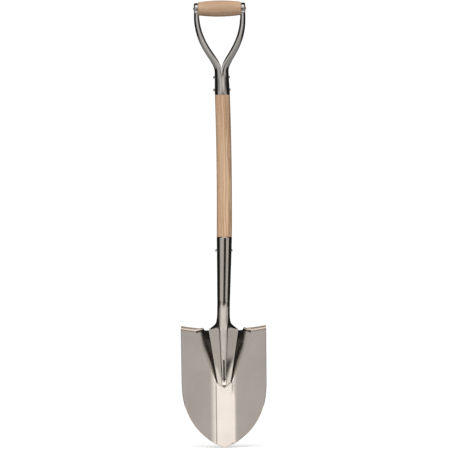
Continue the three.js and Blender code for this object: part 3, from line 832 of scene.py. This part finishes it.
def ash(name, along, pith, pale, tan, dark, seed):
    """Oiled ash: growth rings cut lengthways, ring-pores, fibres and broad tan streaks."""
    material = bpy.data.materials.new(name)
    graph = Graph(material)
    turn = (0, 0, 0) if along == "Z" else (0, math.pi / 2, 0)
    place = graph.add("TexCoord").outputs["Object"]
    place = graph.add("Mapping", {"Vector": place, "Rotation": turn, "Scale": (1000, 1000, 1000)}).outputs[0]
    elsewhere = (seed * 37.0, seed * 11.0, seed * 53.0)
    move = graph.add("Mapping", {"Vector": place, "Location": elsewhere}).outputs[0]

    def grain(across, lengthways, detail=2.0, rough=0.5):
        mapped = graph.add("Mapping", {"Vector": move, "Scale": (across, across, lengthways)}).outputs[0]
        return graph.noise(mapped, 1.0, detail, rough)

    wander = graph.math("MULTIPLY", graph.math("SUBTRACT", grain(0.02, 0.006, 1.0), 0.5), 22.0)
    parts = graph.add("SeparateXYZ", {0: place})
    a = graph.math("SUBTRACT", parts.outputs[0], pith[0])
    b = graph.math("SUBTRACT", parts.outputs[1], pith[1])
    radius = graph.math("SQRT", graph.math("ADD", graph.math("MULTIPLY", a, a), graph.math("MULTIPLY", b, b)))
    radius = graph.math("ADD", radius, wander)
    radius = graph.math("ADD", radius, graph.math("MULTIPLY", grain(0.5, 0.01, 2.0), 1.2))
    ring = graph.math("FRACT", graph.math("DIVIDE", radius, 3.1))
    early = graph.math("MULTIPLY", graph.spread(ring, 0.0, 0.10), graph.spread(ring, 0.65, 0.16))
    streak = graph.spread(grain(0.16, 0.004, 2.0), 0.36, 0.64)
    fibre = grain(2.6, 0.035, 4.0, 0.65)
    pores = graph.math("MULTIPLY", graph.spread(grain(4.5, 0.16, 1.0), 0.60, 0.68), early)
    colour = graph.mix(streak, pale, tan)
    colour = graph.mix(graph.math("MULTIPLY", early, 0.6), colour, dark)
    colour = graph.mix(graph.spread(fibre, 0.3, 0.75, 0.0, 0.35), colour, tan)
    colour = graph.mix(graph.math("MULTIPLY", pores, 0.55), colour, tuple(c * 0.45 for c in dark[:3]) + (1,))
    rough = graph.spread(fibre, 0.3, 0.7, 0.42, 0.55, "LINEAR")
    rough = graph.math("ADD", rough, graph.math("MULTIPLY", pores, 0.15))
    height = graph.math("SUBTRACT", graph.math("MULTIPLY", fibre, 0.3), pores)
    height = graph.math("SUBTRACT", height, graph.math("MULTIPLY", early, 0.25))
    bump = graph.add("Bump", {"Strength": 0.5, "Distance": 0.0002, "Height": height}).outputs[0]
    oil = {"Coat Weight": 0.12, "Coat Roughness": 0.3}
    shader = graph.add("BsdfPrincipled", {"Base Color": colour, "Roughness": rough, "Normal": bump} | oil)
    graph.add("OutputMaterial", {"Surface": shader.outputs[0]})
    return material


# Its last three numbers bound the painted shade under the strap: half-width, bottom and top.
BLADE_STEEL = steel("blade_steel", (0.75, 0.68, 0.61, 1), 0.06, (90, 90, 500), 0.1, (9, 138, 246))
TUBE_STEEL = steel("tube_steel", (0.77, 0.70, 0.62, 1), 0.08, (700, 700, 60), 0.08)
YOKE_STEEL = steel("yoke_steel", (0.68, 0.64, 0.60, 1), 0.12, (600, 600, 80), 0.05)
RIVET_STEEL = steel("rivet_steel", (0.55, 0.54, 0.53, 1), 0.22, (900, 900, 900), 0.1)
SHAFT_ASH = ash(
    "shaft_ash", "Z", (-34, 62), (0.70, 0.48, 0.31, 1), (0.46, 0.28, 0.16, 1), (0.38, 0.21, 0.11, 1), 1
)
GRIP_ASH = ash(
    "grip_ash", "X", (30, 48), (0.60, 0.40, 0.26, 1), (0.48, 0.30, 0.18, 1), (0.38, 0.22, 0.12, 1), 2
)

# ---- The pieces ---------------------------------------------------------------------------------

finish_piece(blade_piece(), "blade", BLADE_STEEL)
finish_piece(socket_piece(), "socket", TUBE_STEEL)
finish_piece(leg_piece("yoke_sheet_left", -1), "yoke_leg_left", YOKE_STEEL)
finish_piece(leg_piece("yoke_sheet_right", 1), "yoke_leg_right", YOKE_STEEL)
finish_piece(shaft_piece(), "shaft", SHAFT_ASH)
finish_piece(grip_piece(), "grip", GRIP_ASH)
finish_piece(rod_piece(), "grip_rod", RIVET_STEEL)
for rivet_name, rivet_tube, rivet_z in (
    ("socket_rivet", socket_radius(SOCKET_RIVET_Z), SOCKET_RIVET_Z),
    ("yoke_rivet_lower", yoke_radius(YOKE_RIVET_LOW_Z), YOKE_RIVET_LOW_Z),
    ("yoke_rivet_upper", yoke_radius(YOKE_RIVET_HIGH_Z), YOKE_RIVET_HIGH_Z),
):
    finish_piece(
        rivet_piece(rivet_name + "_pin", rivet_tube, rivet_z), rivet_name, RIVET_STEEL
    )

# ---- Studio -------------------------------------------------------------------------------------


FLOOR_RADIUS = 0.6
FLOOR_GAP = 0.0005
FLOOR_GLOW = 0.45  # keeps the floor nearly as white as the background

# The key light that matte surfaces see, and how far it reaches from its own direction.
KEY_WAY = (-0.08, -0.72, 0.69)
KEY_REACH = 0.4
KEY_FILL = 0.12
KEY_LEVEL = 2.5

# Light that comes off steel a second time and from above the horizon is cut, so that the walls
# beside the strap stay dark.
SECOND_BOUNCE = 2.5  # the world's own lookup counts as one bounce more
SECOND_BOUNCE_CUT = 0.9
DARKEST = 0.015

# Cards of the studio in degrees: round from the camera's side, and up from the horizon.
CARDS = [
    {"start": -70, "end": -8, "soft": 6, "level": 0.50, "up_from": -30, "up_to": 75},
    {"start": 30, "end": 72, "soft": 6, "level": 0.50, "up_from": -30, "up_to": 75},
    {"start": -30, "end": 40, "soft": 6, "level": 0.50, "up_from": 4, "up_to": 75, "up_soft": 1.5},
    {"start": -24, "end": 30, "soft": 6, "level": 0.95, "up_from": 4, "up_to": 9.5, "up_soft": 1.5},
    {"start": -165, "end": 165, "soft": 6, "level": 0.28, "up_from": -80, "up_to": -14, "up_soft": 5},
    {"start": -20, "end": 22, "soft": 11, "level": 1.16, "up_from": 29, "up_to": 75, "up_soft": 5},
]
# Dark cards in front of them.
SHADES = [
    {"start": -110, "end": -43, "soft": 3, "level": 0.93, "up_from": 4.5, "up_to": 24, "up_soft": 2.5},
    {"start": 43, "end": 110, "soft": 3, "level": 0.93, "up_from": 4.5, "up_to": 24, "up_soft": 2.5},
]


def floor():
    edit = bmesh.new()
    bmesh.ops.create_circle(edit, cap_ends=True, radius=FLOOR_RADIUS, segments=96)
    mesh = bpy.data.meshes.new("floor")
    edit.to_mesh(mesh)
    edit.free()
    made = bpy.data.objects.new("floor", mesh)
    made.location.z = CAD_LOW[2] - FLOOR_GAP
    bpy.context.collection.objects.link(made)
    material = bpy.data.materials.new("pale_floor")
    graph = Graph(material)
    speckle = graph.noise(graph.stretched((40, 40, 40)), 1.0, 3.0)
    colour = graph.mix(speckle, (0.93, 0.93, 0.93, 1), (0.96, 0.96, 0.96, 1))
    finish = {"Base Color": colour, "Roughness": 0.9}
    glow = {"Emission Color": (1, 1, 1, 1), "Emission Strength": FLOOR_GLOW}
    shader = graph.add("BsdfPrincipled", finish | glow)
    graph.add("OutputMaterial", {"Surface": shader.outputs[0]})
    mesh.materials.append(material)


def studio():
    """Soft cards that only reflections see, a soft key for the wood and floor, white behind."""
    world = bpy.data.worlds.new("studio")
    bpy.context.scene.world = world
    graph = Graph(world)
    way = graph.add("TexCoord").outputs["Generated"]
    parts = graph.add("SeparateXYZ", {0: way})
    x, y, z = parts.outputs
    # Degrees round from the camera's side, and degrees above the horizon.
    round_way = graph.math("DEGREES", graph.math("ARCTAN2", x, graph.math("MULTIPLY", y, -1.0)))
    up_way = graph.math("DEGREES", graph.math("ARCSINE", z))

    def card(start, end, soft, level, up_from=-90, up_to=90, up_soft=6):
        off = graph.math("ABSOLUTE", graph.math("SUBTRACT", round_way, (start + end) / 2))
        half = (end - start) / 2
        mask = graph.spread(off, half + soft, half - soft)
        rise = graph.spread(up_way, float(up_from - up_soft), float(up_from + up_soft))
        fall = graph.spread(up_way, float(up_to + up_soft), float(up_to - up_soft))
        mask = graph.math("MULTIPLY", mask, graph.math("MULTIPLY", rise, fall))
        return graph.math("MULTIPLY", mask, level)

    level = 0.0
    for settings in CARDS:
        level = graph.math("MAXIMUM", level, card(**settings))
    for settings in SHADES:
        level = graph.math("MULTIPLY", level, graph.math("SUBTRACT", 1.0, card(**settings)))
    path = graph.add("LightPath")
    twice = graph.math("GREATER_THAN", path.outputs["Ray Depth"], SECOND_BOUNCE)
    twice = graph.math("MULTIPLY", twice, graph.spread(up_way, 3.0, 6.0))
    kept = graph.math("SUBTRACT", 1.0, graph.math("MULTIPLY", twice, SECOND_BOUNCE_CUT))
    level = graph.math("ADD", graph.math("MULTIPLY", level, kept), DARKEST)
    seen_shiny = graph.add("Background", {"Color": level})
    toward_key = graph.add("VectorMath", {0: way, 1: KEY_WAY}, operation="DOT_PRODUCT").outputs["Value"]
    key = graph.spread(toward_key, KEY_REACH, 1.0, KEY_FILL, KEY_LEVEL)
    seen_matte = graph.add("Background", {"Color": key})
    white = graph.add("Background", {"Color": (1, 1, 1, 1), "Strength": 1.05})
    shiny, matte = seen_shiny.outputs[0], seen_matte.outputs[0]
    lit = graph.add("MixShader", {0: path.outputs["Is Glossy Ray"], 1: matte, 2: shiny})
    shown = graph.add(
        "MixShader", {0: path.outputs["Is Camera Ray"], 1: lit.outputs[0], 2: white.outputs[0]}
    )
    graph.add("OutputWorld", {"Surface": shown.outputs[0]})


def camera():
    """Level and square to the blade's face, from far off, leaning as the spade leans."""
    data = bpy.data.cameras.new("camera")
    data.sensor_width = 36
    view_height = 0.9948
    distance = 9.0
    data.lens = data.sensor_width * distance / view_height
    aim = Vector((0.0062, AXIS_Y, BASE_Z + 0.4884))
    made = bpy.data.objects.new("camera", data)
    made.location = aim - Vector((0, distance, 0))
    made.rotation_mode = "XYZ"
    made.rotation_euler = (math.pi / 2, math.radians(0.7), 0)
    data.clip_start, data.clip_end = 0.1, 50
    bpy.context.collection.objects.link(made)
    bpy.context.scene.camera = made


floor()
studio()
camera()
bpy.context.scene.view_settings.view_transform = "Standard"

bpy.context.view_layer.update()
